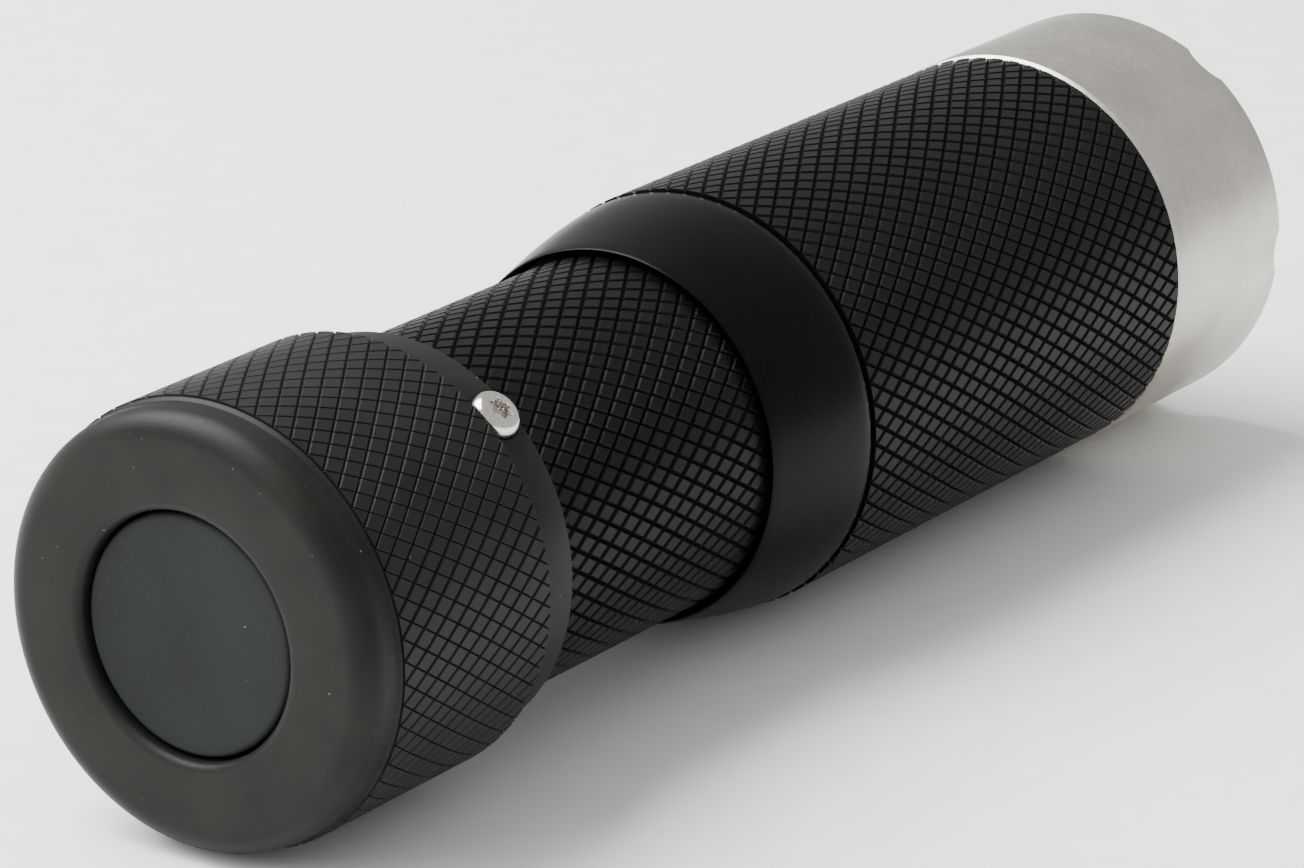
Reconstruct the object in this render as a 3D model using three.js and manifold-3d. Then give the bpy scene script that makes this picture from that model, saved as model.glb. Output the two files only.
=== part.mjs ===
// A compact single-cell flashlight with a rotary tail knob, lying on its side.
// Millimetres, +Z up. The beam axis is +Y, and stations along it are counted from the flat tail face.
import * as THREE from "three";
import { mergeVertices } from "three/addons/utils/BufferGeometryUtils.js";
import Module from "manifold-3d";

const wasm = await Module();
wasm.setup();

// Driving sizes: facets and clearances.
const SIDES = 32;
const SMALL_SIDES = 16;
const SEAT_GAP = 0.1;
const RUNNING_GAP = 0.25;
const SPLIT_GAP = 0.3;

// Driving sizes: the lithium cell that sets the tube.
const CELL_RADIUS = 8.4;
const CELL_LENGTH = 33.2;
const CELL_CAP_RADIUS = 3.2;
const CELL_CAP_LENGTH = 1.2;

// Driving sizes: tail knob.
const KNOB_WALL = 1.35;
const KNOB_GRIP_STEP = 0.85;
const KNOB_RIM_STEP = 0.3;
const KNOB_RIM_FILLET = 1.5;
const KNOB_RIM_LENGTH = 2.7;
const KNOB_GRIP_LENGTH = 13.0;
const KNOB_COLLAR_LENGTH = 3.3;
const KNOB_COLLAR_CHAMFER = 0.35;
const KNOB_END_WALL = 2.6;
const KNOB_POCKET_LENGTH = 4.7;
const KNOB_LIP_FILLET = 0.4;
const KNOB_TURN_DEGREES = 270;

// Driving sizes: tail button and what holds it.
const BUTTON_FLANGE_WIDTH = 2.05;
const BUTTON_GAP = 0.35;
const BUTTON_RECESS = 0.8;
const BUTTON_DISH = 0.3;
const BUTTON_EDGE = 0.3;
const KNOB_POCKET_STEP = 1.25;
const BUTTON_FLANGE_THICKNESS = 1.0;
const BUTTON_BOSS_RADIUS = 2.4;
const BUTTON_BOSS_LENGTH = 0.6;
const BUTTON_TRAVEL = 1.5;
const BUTTON_RING_THICKNESS = 1.1;
const BUTTON_RING_WALL = 1.8;

// Driving sizes: stop screw in the knob's plain collar.
const SCREW_ANGLE_DEGREES = 40.5;
const SCREW_HEAD_RADIUS = 1.45;
const SCREW_HEAD_HEIGHT = 1.15;
const SCREW_CROWN = 0.45;
const SCREW_SHANK_RADIUS = 0.75;
const SCREW_SEAT_DEPTH = 0.2;
const SCREW_SOCKET_RADIUS = 0.65;
const SCREW_SOCKET_DEPTH = 0.6;
const SCREW_TIP_BITE = 0.5;

// Driving sizes: battery tube.
const TUBE_TAIL_WALL = 1.25;
const TUBE_GRIP_STEP = 0.65;
const TUBE_GRIP_LENGTH = 21.2;
const TUBE_REAR_GAP = 0.8;
const TUBE_THREAD_STEP = 0.05;
const TUBE_THREAD_LENGTH = 7.5;
const THREAD_PITCH = 1.0;
const THREAD_DEPTH = 0.3;
const STOP_GROOVE_DEPTH = 0.6;
const STOP_GROOVE_GAP = 0.2;
const O_RING_SECTION = 0.45;
const O_RING_GAP = 0.08;

// Driving sizes: switch stack in the tail of the tube.
const BOARD_THICKNESS = 1.2;
const ROTARY_BOARD_INSET = 0.4;
const ROTARY_BOARD_HOLE = 3.2;
const WIPER_THICKNESS = 0.4;
const WIPER_INNER_RADIUS = 5.0;
const WIPER_OUTER_RADIUS = 6.9;
const SWITCH_WIDTH = 8.4;
const SWITCH_DEPTH = 4.2;
const SWITCH_FLOOR = 0.6;
const PLUNGER_RADIUS = 1.6;
const PLUNGER_LENGTH = 5.6;
const PLUNGER_GUIDE_GAP = 0.25;
const RETURN_SPRING_WIRE = 0.14;
const RETURN_SPRING_TURNS = 3;
const RETAINER_THICKNESS = 1.5;
const RETAINER_WALL = 1.3;
const CONTACT_SPRING_LENGTH = 4.6;
const CONTACT_SPRING_WIRE = 0.4;
const CONTACT_SPRING_WIDE = 5.6;
const CONTACT_SPRING_NARROW = 3.6;
const CONTACT_SPRING_TURNS = 3;
const CURL_STEPS = 8;
const CURL_SIDES = 3;

// Driving sizes: head.
const HEAD_MOUTH_GAP = 0.35;
const HEAD_LIP_WIDTH = 0.3;
const HEAD_SHOULDER_RISE = 1.2;
const HEAD_GRIP_STEP = 0.15;
const HEAD_MOUTH_DEPTH = 2.0;
const HEAD_SHOULDER_LENGTH = 6.4;
const HEAD_PLAIN_LENGTH = 8.4;
const HEAD_SHOULDER_RINGS = 4;
const REFLECTOR_INSET = 1.0;
const HEAD_PARTITION = 1.6;
const HEAD_SPIGOT_STEP = 1.25;
const HEAD_SPIGOT_WALL = 0.9;
const HEAD_SPIGOT_LENGTH = 7.6;
const CELL_WELL_CLEARANCE = 0.6;

// Driving sizes: contact, driver and heat sink inside the head.
const CONTACT_RADIUS = 1.6;
const INSULATOR_RADIUS = 4.0;
const INSULATOR_FLANGE_RADIUS = 6.0;
const INSULATOR_FLANGE = 0.8;
const DRIVER_THICKNESS = 1.4;
const DRIVER_BAY = 5.6;
const INDUCTOR_WIDTH = 5.2;
const INDUCTOR_HEIGHT = 3.6;
const CHIP_WIDTH = 4.0;
const CHIP_HEIGHT = 1.1;
const CAPACITOR_LENGTH = 3.2;
const CAPACITOR_WIDTH = 1.6;
const COMPONENT_SPACING = 4.0;
const CORE_LENGTH = 7.0;
const LEAD_OFFSET = 6.4;
const LEAD_RADIUS = 0.5;
const LEAD_HOLE_RADIUS = 0.95;
const LEAD_FOLD = 1.2;

// Driving sizes: light engine, window and bezel.
const LED_BOARD_RADIUS = 8.6;
const LED_BOARD_THICKNESS = 1.6;
const LED_WIDTH = 3.45;
const LED_HEIGHT = 0.7;
const LED_DOME_RADIUS = 1.45;
const CENTRING_WALL = 0.9;
const CENTRING_HEIGHT = 1.0;
const REFLECTOR_RIM = 0.7;
const REFLECTOR_HOLE_RADIUS = 2.7;
const REFLECTOR_LENGTH = 14.9;
const REFLECTOR_WALL = 0.7;
const REFLECTOR_FLANGE = 1.0;
const REFLECTOR_RINGS = 7;
const WINDOW_THICKNESS = 2.2;
const BEZEL_PROUD = 0.1;
const BEZEL_LIP_WIDTH = 0.6;
const BEZEL_LIP = 2.2;
const BEZEL_EDGE = 0.4;
const SCALLOP_COUNT = 6;
const SCALLOP_RADIUS = 2.2;
const SCALLOP_DEPTH = 1.0;
const SCALLOP_ANGLE_DEGREES = 33.5;

// Radii, each worked out from the cell outwards.
const TUBE_BORE_RADIUS = CELL_RADIUS + RUNNING_GAP + SEAT_GAP;
const TUBE_TAIL_RADIUS = TUBE_BORE_RADIUS + TUBE_TAIL_WALL;
const TUBE_RADIUS = TUBE_TAIL_RADIUS + TUBE_GRIP_STEP;
const TUBE_THREAD_RADIUS = TUBE_TAIL_RADIUS - TUBE_THREAD_STEP;
const KNOB_BORE_RADIUS = TUBE_TAIL_RADIUS + RUNNING_GAP;
const KNOB_COLLAR_RADIUS = KNOB_BORE_RADIUS + KNOB_WALL;
const KNOB_RADIUS = KNOB_COLLAR_RADIUS + KNOB_GRIP_STEP;
const KNOB_RIM_RADIUS = KNOB_RADIUS - KNOB_RIM_STEP;
const KNOB_POCKET_RADIUS = KNOB_BORE_RADIUS - KNOB_POCKET_STEP;
const BUTTON_FLANGE_RADIUS = KNOB_POCKET_RADIUS - SPLIT_GAP;
const BUTTON_RADIUS = BUTTON_FLANGE_RADIUS - BUTTON_FLANGE_WIDTH;
const HEAD_THREAD_BORE = TUBE_THREAD_RADIUS + RUNNING_GAP;
const HEAD_MOUTH_RADIUS = TUBE_RADIUS + HEAD_MOUTH_GAP;
const HEAD_REAR_RADIUS = HEAD_MOUTH_RADIUS + HEAD_LIP_WIDTH;
const HEAD_COLLAR_RADIUS = HEAD_REAR_RADIUS + HEAD_SHOULDER_RISE;
const HEAD_RADIUS = HEAD_COLLAR_RADIUS + HEAD_GRIP_STEP;
const HEAD_SPIGOT_RADIUS = HEAD_RADIUS - HEAD_SPIGOT_STEP;
const HEAD_BORE_RADIUS = HEAD_SPIGOT_RADIUS - HEAD_SPIGOT_WALL;
const CELL_WELL_RADIUS = CELL_RADIUS + CELL_WELL_CLEARANCE;
const BEZEL_RADIUS = HEAD_RADIUS + BEZEL_PROUD;
const BEZEL_BORE_RADIUS = HEAD_SPIGOT_RADIUS + RUNNING_GAP;
const BEZEL_OPENING_RADIUS = HEAD_BORE_RADIUS - BEZEL_LIP_WIDTH;

// Stations along the axis, each worked out from the lengths above.
const KNOB_GRIP_START = KNOB_RIM_LENGTH;
const KNOB_GRIP_END = KNOB_GRIP_START + KNOB_GRIP_LENGTH;
const KNOB_END = KNOB_GRIP_END + KNOB_COLLAR_LENGTH;
const KNOB_POCKET_END = KNOB_END_WALL + KNOB_POCKET_LENGTH;
const SCREW_STATION = KNOB_GRIP_END + KNOB_COLLAR_LENGTH / 2;
const TUBE_GRIP_START = KNOB_END + SPLIT_GAP;
const TUBE_GRIP_END = TUBE_GRIP_START + TUBE_GRIP_LENGTH;
const TUBE_FRONT = TUBE_GRIP_END + TUBE_THREAD_LENGTH;
const FLANGE_START = KNOB_END_WALL + SPLIT_GAP;
const FLANGE_END = FLANGE_START + BUTTON_FLANGE_THICKNESS;
const BUTTON_RING_START = FLANGE_END + BUTTON_TRAVEL + SPLIT_GAP;
const BUTTON_RING_END = BUTTON_RING_START + BUTTON_RING_THICKNESS;
const TUBE_REAR = BUTTON_RING_END + TUBE_REAR_GAP;
const WIPER_START = BUTTON_RING_END + SEAT_GAP;
const WIPER_END = WIPER_START + WIPER_THICKNESS;
const ROTARY_BOARD_START = Math.max(TUBE_REAR + ROTARY_BOARD_INSET, WIPER_END + RUNNING_GAP);
const SWITCH_START = ROTARY_BOARD_START + BOARD_THICKNESS + SEAT_GAP;
const SWITCH_END = SWITCH_START + SWITCH_DEPTH;
const SWITCH_BOARD_START = SWITCH_END + SEAT_GAP;
const SWITCH_BOARD_END = SWITCH_BOARD_START + BOARD_THICKNESS;
const RETAINER_START = SWITCH_BOARD_END + SEAT_GAP;
const RETAINER_END = RETAINER_START + RETAINER_THICKNESS;
const PLUNGER_START = FLANGE_END + BUTTON_BOSS_LENGTH + SEAT_GAP;
const PLUNGER_END = PLUNGER_START + PLUNGER_LENGTH;
const CONTACT_SPRING_START = SWITCH_BOARD_END + SEAT_GAP;
const CELL_START = CONTACT_SPRING_START + CONTACT_SPRING_LENGTH + SEAT_GAP;
const CELL_END = CELL_START + CELL_LENGTH;
const CAP_END = CELL_END + CELL_CAP_LENGTH;
const HEAD_REAR = TUBE_GRIP_END - HEAD_MOUTH_DEPTH + SPLIT_GAP;
const HEAD_GRIP_START = HEAD_REAR + HEAD_PLAIN_LENGTH;
const HEAD_MOUTH_END = HEAD_REAR + HEAD_MOUTH_DEPTH;
const HEAD_THREAD_END = TUBE_FRONT + SPLIT_GAP;
const CELL_WELL_END = CAP_END + SEAT_GAP;
const PARTITION_END = CELL_WELL_END + HEAD_PARTITION;
const INSULATOR_END = PARTITION_END + SEAT_GAP + INSULATOR_FLANGE;
const DRIVER_START = INSULATOR_END + SEAT_GAP;
const DRIVER_END = DRIVER_START + DRIVER_THICKNESS;
const CORE_START = DRIVER_END + DRIVER_BAY;
const CORE_END = CORE_START + CORE_LENGTH;
const LED_BOARD_START = CORE_END + SEAT_GAP;
const LED_BOARD_END = LED_BOARD_START + LED_BOARD_THICKNESS;
const LED_START = LED_BOARD_END + SEAT_GAP;
const LED_END = LED_START + LED_HEIGHT;
const REFLECTOR_START = LED_START + CENTRING_HEIGHT + SEAT_GAP;
const REFLECTOR_END = REFLECTOR_START + REFLECTOR_LENGTH;
const HEAD_FRONT = REFLECTOR_END + REFLECTOR_INSET;
const HEAD_GRIP_END = HEAD_FRONT - HEAD_SPIGOT_LENGTH;
const WINDOW_START = HEAD_FRONT + SEAT_GAP;
const WINDOW_END = WINDOW_START + WINDOW_THICKNESS;
const BEZEL_START = HEAD_GRIP_END + SEAT_GAP;
const BEZEL_BORE_END = WINDOW_END + 2 * O_RING_SECTION + O_RING_GAP;
const BEZEL_END = BEZEL_BORE_END + BEZEL_LIP;

// The part lies with a flat of the bezel down, and its middle over the origin.
const AXIS_HEIGHT = BEZEL_RADIUS * Math.cos(Math.PI / SIDES);
const MIDDLE = BEZEL_END / 2;

// Finishes.
const finish = (color, roughness, metalness) =>
  new THREE.MeshStandardMaterial({ color, roughness, metalness });
const BLACK_ANODISE = finish(0x23282a, 0.5, 0.6);
const BLACK_RUBBER = finish(0x2e3335, 0.75, 0);
const STAINLESS = finish(0xb9b6b1, 0.35, 1);
const BRIGHT_STEEL = finish(0xd2cec8, 0.15, 1);
const BRASS = finish(0xc9a55a, 0.3, 1);
const GREEN_BOARD = finish(0x1f5c3a, 0.5, 0);
const BLACK_PLASTIC = finish(0x1a1a1a, 0.6, 0);
const WHITE_BOARD = finish(0xe8e8e4, 0.5, 0);
const ALUMINIUM = finish(0xbfc2c5, 0.35, 1);
const MIRROR = finish(0xf2f2f2, 0.03, 1);
const WINDOW_GLASS = finish(0xe8f0f2, 0.02, 0);
const CELL_WRAP = finish(0x3a4d7a, 0.4, 0);
const SEAL_RUBBER = finish(0x151515, 0.8, 0);
const LED_SILICONE = finish(0xe6d36a, 0.15, 0);
const LEAD_RED = finish(0xa0211c, 0.5, 0);
const LEAD_BLACK = finish(0x202020, 0.5, 0);
const FERRITE = finish(0x3d3d40, 0.6, 0);

// Solid modelling helpers.
function solidOf(geometry) {
  const bare = geometry.clone();
  bare.deleteAttribute("normal");
  bare.deleteAttribute("uv");
  const merged = mergeVertices(bare, 1e-4);
  const vertProperties = merged.attributes.position.array;
  const triVerts = new Uint32Array(merged.index.array);
  return new wasm.Manifold(new wasm.Mesh({ numProp: 3, vertProperties, triVerts }));
}

function geometryOf(solid) {
  const mesh = solid.getMesh();
  const geometry = new THREE.BufferGeometry();
  geometry.setAttribute("position", new THREE.BufferAttribute(new Float32Array(mesh.vertProperties), 3));
  geometry.setIndex(new THREE.BufferAttribute(new Uint32Array(mesh.triVerts), 1));
  geometry.computeVertexNormals();
  return geometry;
}

function cut(geometry, ...tools) {
  return geometryOf(tools.reduce((solid, tool) => solid.subtract(solidOf(tool)), solidOf(geometry)));
}

// Revolves a profile of [radius, station] corners about the axis, with a flat facing down.
function turned(corners, sides = SIDES) {
  const loop = corners.map(([radius, station]) => new THREE.Vector2(radius, station));
  const onAxis = loop[0].x === 0 && loop[loop.length - 1].x === 0;
  const outline = THREE.ShapeUtils.area(loop) < 0 ? loop.reverse() : loop;
  const closed = onAxis ? outline : [...outline, outline[0].clone()];
  return new THREE.LatheGeometry(closed, sides, Math.PI / sides);
}

function disc(radius, start, end, sides = SIDES) {
  return turned([[0, start], [radius, start], [radius, end], [0, end]], sides);
}

function ring(inner, outer, start, end, sides = SIDES) {
  return turned([[inner, start], [outer, start], [outer, end], [inner, end]], sides);
}

// Corners of a circular arc in a profile, about [radius, station], from one angle to another in degrees.
function arcCorners(radius, station, size, from, to, steps) {
  return Array.from({ length: steps + 1 }, (unused, i) => {
    const angle = THREE.MathUtils.degToRad(from + ((to - from) * i) / steps);
    return [radius + size * Math.cos(angle), station + size * Math.sin(angle)];
  });
}

// A round seal: a ring of circular section, lying at a radius and a station.
function seal(radius, station, section) {
  return turned(arcCorners(radius, station, section, 0, 315, 7));
}

// A cylinder whose axis runs out from the beam axis at an angle from straight up, between two radii.
function radialCylinder(radius, low, high, angle, station, sides = SMALL_SIDES) {
  const geometry = new THREE.CylinderGeometry(radius, radius, high - low, sides);
  geometry.translate(0, (high + low) / 2, 0);
  return geometry.rotateX(Math.PI / 2).rotateY(angle).translate(0, station, 0);
}

function block(width, depth, start, end, x = 0, z = 0) {
  return new THREE.BoxGeometry(width, end - start, depth).translate(x, (start + end) / 2, z);
}

// A solid tube of round section along points, with flat ends.
function wire(points, radius, steps, sides) {
  const section = new THREE.Shape();
  section.absarc(0, 0, radius, 0, 2 * Math.PI);
  const extrudePath = new THREE.CatmullRomCurve3(points);
  return new THREE.ExtrudeGeometry(section, { steps, curveSegments: sides, extrudePath });
}

// A coil spring as one unbroken tube, its radius going evenly from the first to the last.
function coil(first, last, start, end, wireRadius, turns) {
  const count = turns * CURL_STEPS;
  const points = Array.from({ length: count + 1 }, (unused, i) => {
    const share = i / count;
    const angle = share * turns * 2 * Math.PI;
    const radius = first + (last - first) * share;
    const station = start + wireRadius + (end - start - 2 * wireRadius) * share;
    return new THREE.Vector3(radius * Math.sin(angle), station, radius * Math.cos(angle));
  });
  return { points, geometry: wire(points, wireRadius, count, CURL_SIDES) };
}

// The least gap between a coil's turns, measured between points at least half a turn apart.
function leastGap(points, wireRadius) {
  const apart = Math.floor(CURL_STEPS / 2);
  const gaps = points.flatMap((a, i) => points.slice(i + apart).map((b) => a.distanceTo(b)));
  return Math.min(...gaps) - 2 * wireRadius;
}

const flashlight = new THREE.Group();
flashlight.position.set(0, -MIDDLE, AXIS_HEIGHT);

function add(name, geometry, material) {
  const mesh = new THREE.Mesh(geometry, material);
  mesh.name = name;
  flashlight.add(mesh);
}

// Tail knob: a rounded rim, a grip, and a plain collar that carries the stop screw.
const screwAngle = THREE.MathUtils.degToRad(SCREW_ANGLE_DEGREES);
const buttonHole = BUTTON_RADIUS + BUTTON_GAP;
const screwSeat = KNOB_COLLAR_RADIUS - SCREW_SEAT_DEPTH;

function knobShell() {
  const rim = arcCorners(KNOB_RIM_RADIUS - KNOB_RIM_FILLET, KNOB_RIM_FILLET, KNOB_RIM_FILLET, -90, 0, 4);
  const step = KNOB_RADIUS - KNOB_RIM_RADIUS;
  const shell = turned([
    [buttonHole, KNOB_LIP_FILLET],
    [buttonHole + KNOB_LIP_FILLET, 0],
    ...rim,
    [KNOB_RIM_RADIUS, KNOB_GRIP_START - step],
    [KNOB_RADIUS, KNOB_GRIP_START],
    [KNOB_RADIUS, KNOB_GRIP_END],
    [KNOB_COLLAR_RADIUS, KNOB_GRIP_END],
    [KNOB_COLLAR_RADIUS, KNOB_END - KNOB_COLLAR_CHAMFER],
    [KNOB_COLLAR_RADIUS - KNOB_COLLAR_CHAMFER, KNOB_END],
    [KNOB_BORE_RADIUS, KNOB_END],
    [KNOB_BORE_RADIUS, KNOB_POCKET_END],
    [KNOB_POCKET_RADIUS, KNOB_POCKET_END],
    [KNOB_POCKET_RADIUS, KNOB_END_WALL],
    [buttonHole, KNOB_END_WALL],
  ]);
  const spotFace = SCREW_HEAD_RADIUS + SEAT_GAP;
  return cut(
    shell,
    radialCylinder(spotFace, screwSeat, KNOB_RADIUS + SCREW_HEAD_HEIGHT, screwAngle, SCREW_STATION),
    radialCylinder(SCREW_SHANK_RADIUS + SEAT_GAP, 0, KNOB_RADIUS, screwAngle, SCREW_STATION),
  );
}

// Stop screw: a domed head with a hexagon socket, and a plain tip that rides in the tube's groove.
function stopScrew() {
  const seat = screwSeat + SEAT_GAP;
  const top = seat + SCREW_HEAD_HEIGHT;
  const tip = TUBE_TAIL_RADIUS - SCREW_TIP_BITE;
  const body = turned(
    [
      [0, tip],
      [SCREW_SHANK_RADIUS, tip],
      [SCREW_SHANK_RADIUS, seat],
      [SCREW_HEAD_RADIUS, seat],
      [SCREW_HEAD_RADIUS, top - SCREW_CROWN],
      [SCREW_HEAD_RADIUS - SCREW_CROWN / 3, top - SCREW_CROWN / 3],
      [SCREW_HEAD_RADIUS - SCREW_CROWN, top],
      [0, top],
    ],
    SMALL_SIDES,
  );
  const socket = disc(SCREW_SOCKET_RADIUS, top - SCREW_SOCKET_DEPTH, top + SCREW_SOCKET_DEPTH, 6);
  return cut(body, socket).rotateX(Math.PI / 2).rotateY(screwAngle).translate(0, SCREW_STATION, 0);
}

add("rotary_knob", knobShell(), BLACK_ANODISE);
add("stop_screw", stopScrew(), BRIGHT_STEEL);

// Tail button: a dished puck with a flange behind the knob's end wall, and the ring that traps it.
function tailButton() {
  return turned([
    [0, BUTTON_RECESS + BUTTON_DISH],
    [BUTTON_RADIUS / 2, BUTTON_RECESS + BUTTON_DISH / 2],
    [BUTTON_RADIUS - BUTTON_EDGE, BUTTON_RECESS],
    [BUTTON_RADIUS, BUTTON_RECESS + BUTTON_EDGE],
    [BUTTON_RADIUS, FLANGE_START],
    [BUTTON_FLANGE_RADIUS, FLANGE_START],
    [BUTTON_FLANGE_RADIUS, FLANGE_END],
    [BUTTON_BOSS_RADIUS, FLANGE_END],
    [BUTTON_BOSS_RADIUS, FLANGE_END + BUTTON_BOSS_LENGTH],
    [0, FLANGE_END + BUTTON_BOSS_LENGTH],
  ]);
}

const buttonRingOuter = KNOB_POCKET_RADIUS - SEAT_GAP;
const buttonRingInner = buttonRingOuter - BUTTON_RING_WALL;
const buttonRing = ring(buttonRingInner, buttonRingOuter, BUTTON_RING_START, BUTTON_RING_END);
add("tail_button", tailButton(), BLACK_RUBBER);
add("button_retaining_ring", buttonRing, BLACK_ANODISE);
add("rotary_wiper", ring(WIPER_INNER_RADIUS, WIPER_OUTER_RADIUS, WIPER_START, WIPER_END), BRASS);

// Battery tube: a plain tail that the knob turns on, a grip, and a threaded nose for the head.
const tailSealStation = (TUBE_REAR + SCREW_STATION) / 2;
const headSealStation = HEAD_MOUTH_END + 2 * O_RING_SECTION;
const tailSealRadius = KNOB_BORE_RADIUS * Math.cos(Math.PI / SIDES) - O_RING_GAP - O_RING_SECTION;
const headSealRadius = HEAD_THREAD_BORE * Math.cos(Math.PI / SIDES) - O_RING_GAP - O_RING_SECTION;

function sealGroove(surface, sealRadius, station) {
  const half = O_RING_SECTION + O_RING_GAP;
  return ring(sealRadius - half, surface + RUNNING_GAP, station - half, station + half);
}

function stopGroove() {
  const slack = (SCREW_SHANK_RADIUS + STOP_GROOVE_GAP) / TUBE_TAIL_RADIUS;
  const outer = TUBE_TAIL_RADIUS + RUNNING_GAP;
  const inner = TUBE_TAIL_RADIUS - STOP_GROOVE_DEPTH;
  const from = screwAngle - slack;
  const to = screwAngle + THREE.MathUtils.degToRad(KNOB_TURN_DEGREES) + slack;
  const width = 2 * (SCREW_SHANK_RADIUS + STOP_GROOVE_GAP);
  const sector = new THREE.Shape();
  sector.absarc(0, 0, outer, from, to, false);
  sector.absarc(0, 0, inner, to, from, true);
  const sweep = { depth: width, bevelEnabled: false, curveSegments: SMALL_SIDES };
  const groove = new THREE.ExtrudeGeometry(sector, sweep);
  // The sector's plane is laid square to the axis, its angle counted from straight up towards +X.
  groove.rotateX(-Math.PI / 2).rotateY(-Math.PI / 2);
  return groove.translate(0, SCREW_STATION - width / 2, 0);
}

function threadRelief(surface, start, end, count) {
  const pitch = (end - start) / count;
  return Array.from({ length: count }, (unused, i) => {
    const station = start + (i + 0.5) * pitch;
    return turned([
      [surface - THREAD_DEPTH, station],
      [surface + THREAD_DEPTH, station - pitch * 0.45],
      [surface + THREAD_DEPTH, station + pitch * 0.45],
    ]);
  });
}

function batteryTube() {
  const body = turned([
    [TUBE_BORE_RADIUS, TUBE_REAR],
    [TUBE_TAIL_RADIUS, TUBE_REAR],
    [TUBE_TAIL_RADIUS, TUBE_GRIP_START],
    [TUBE_RADIUS, TUBE_GRIP_START],
    [TUBE_RADIUS, TUBE_GRIP_END],
    [TUBE_THREAD_RADIUS, TUBE_GRIP_END],
    [TUBE_THREAD_RADIUS, TUBE_FRONT],
    [TUBE_BORE_RADIUS, TUBE_FRONT],
  ]);
  const threadStart = headSealStation + 2 * O_RING_SECTION;
  const threadCount = Math.floor((TUBE_FRONT - threadStart) / THREAD_PITCH);
  return cut(
    body,
    sealGroove(TUBE_TAIL_RADIUS, tailSealRadius, tailSealStation),
    sealGroove(TUBE_THREAD_RADIUS, headSealRadius, headSealStation),
    ...threadRelief(TUBE_THREAD_RADIUS, threadStart, threadStart + threadCount * THREAD_PITCH, threadCount),
    stopGroove(),
  );
}

add("battery_tube", batteryTube(), BLACK_ANODISE);
add("knob_o_ring", seal(tailSealRadius, tailSealStation, O_RING_SECTION), SEAL_RUBBER);
add("head_o_ring", seal(headSealRadius, headSealStation, O_RING_SECTION), SEAL_RUBBER);

// Switch stack in the tail: the ring board that the wiper reads on, the click switch and its board.
const boardRadius = TUBE_BORE_RADIUS - SEAT_GAP;
const guideRadius = PLUNGER_RADIUS + PLUNGER_GUIDE_GAP;

function switchHousing() {
  const body = block(SWITCH_WIDTH, SWITCH_WIDTH, SWITCH_START, SWITCH_END);
  return cut(body, disc(guideRadius, SWITCH_START - SWITCH_FLOOR, SWITCH_END - SWITCH_FLOOR, SMALL_SIDES));
}

const rotaryBoardEnd = ROTARY_BOARD_START + BOARD_THICKNESS;
const returnSpringEnd = SWITCH_END - SWITCH_FLOOR - SEAT_GAP;
const returnSpringRadius = PLUNGER_RADIUS - 2 * RETURN_SPRING_WIRE;
const returnSpring = coil(
  returnSpringRadius,
  returnSpringRadius,
  PLUNGER_END + SEAT_GAP,
  returnSpringEnd,
  RETURN_SPRING_WIRE,
  RETURN_SPRING_TURNS,
);
const contactSpring = coil(
  CONTACT_SPRING_WIDE,
  CONTACT_SPRING_NARROW,
  CONTACT_SPRING_START,
  CONTACT_SPRING_START + CONTACT_SPRING_LENGTH,
  CONTACT_SPRING_WIRE,
  CONTACT_SPRING_TURNS,
);
const returnSpringGap = leastGap(returnSpring.points, RETURN_SPRING_WIRE);
const contactSpringGap = leastGap(contactSpring.points, CONTACT_SPRING_WIRE);
console.log("least gap in the springs", returnSpringGap.toFixed(2), contactSpringGap.toFixed(2));

add("rotary_board", ring(ROTARY_BOARD_HOLE, boardRadius, ROTARY_BOARD_START, rotaryBoardEnd), GREEN_BOARD);
add("switch_housing", switchHousing(), BLACK_PLASTIC);
add("switch_plunger", disc(PLUNGER_RADIUS, PLUNGER_START, PLUNGER_END, SMALL_SIDES), BLACK_PLASTIC);
add("switch_return_spring", returnSpring.geometry, BRIGHT_STEEL);
add("switch_board", disc(boardRadius, SWITCH_BOARD_START, SWITCH_BOARD_END), GREEN_BOARD);
const retainerInner = boardRadius - RETAINER_WALL;
add("switch_retaining_ring", ring(retainerInner, boardRadius, RETAINER_START, RETAINER_END), BRASS);
add("tail_contact_spring", contactSpring.geometry, BRIGHT_STEEL);

// Lithium cell, with its positive cap.
add("battery_cell", disc(CELL_RADIUS, CELL_START, CELL_END), CELL_WRAP);
const positiveCap = disc(CELL_CAP_RADIUS, CELL_END + SEAT_GAP, CAP_END, SMALL_SIDES);
add("battery_positive_cap", positiveCap, BRIGHT_STEEL);

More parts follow.
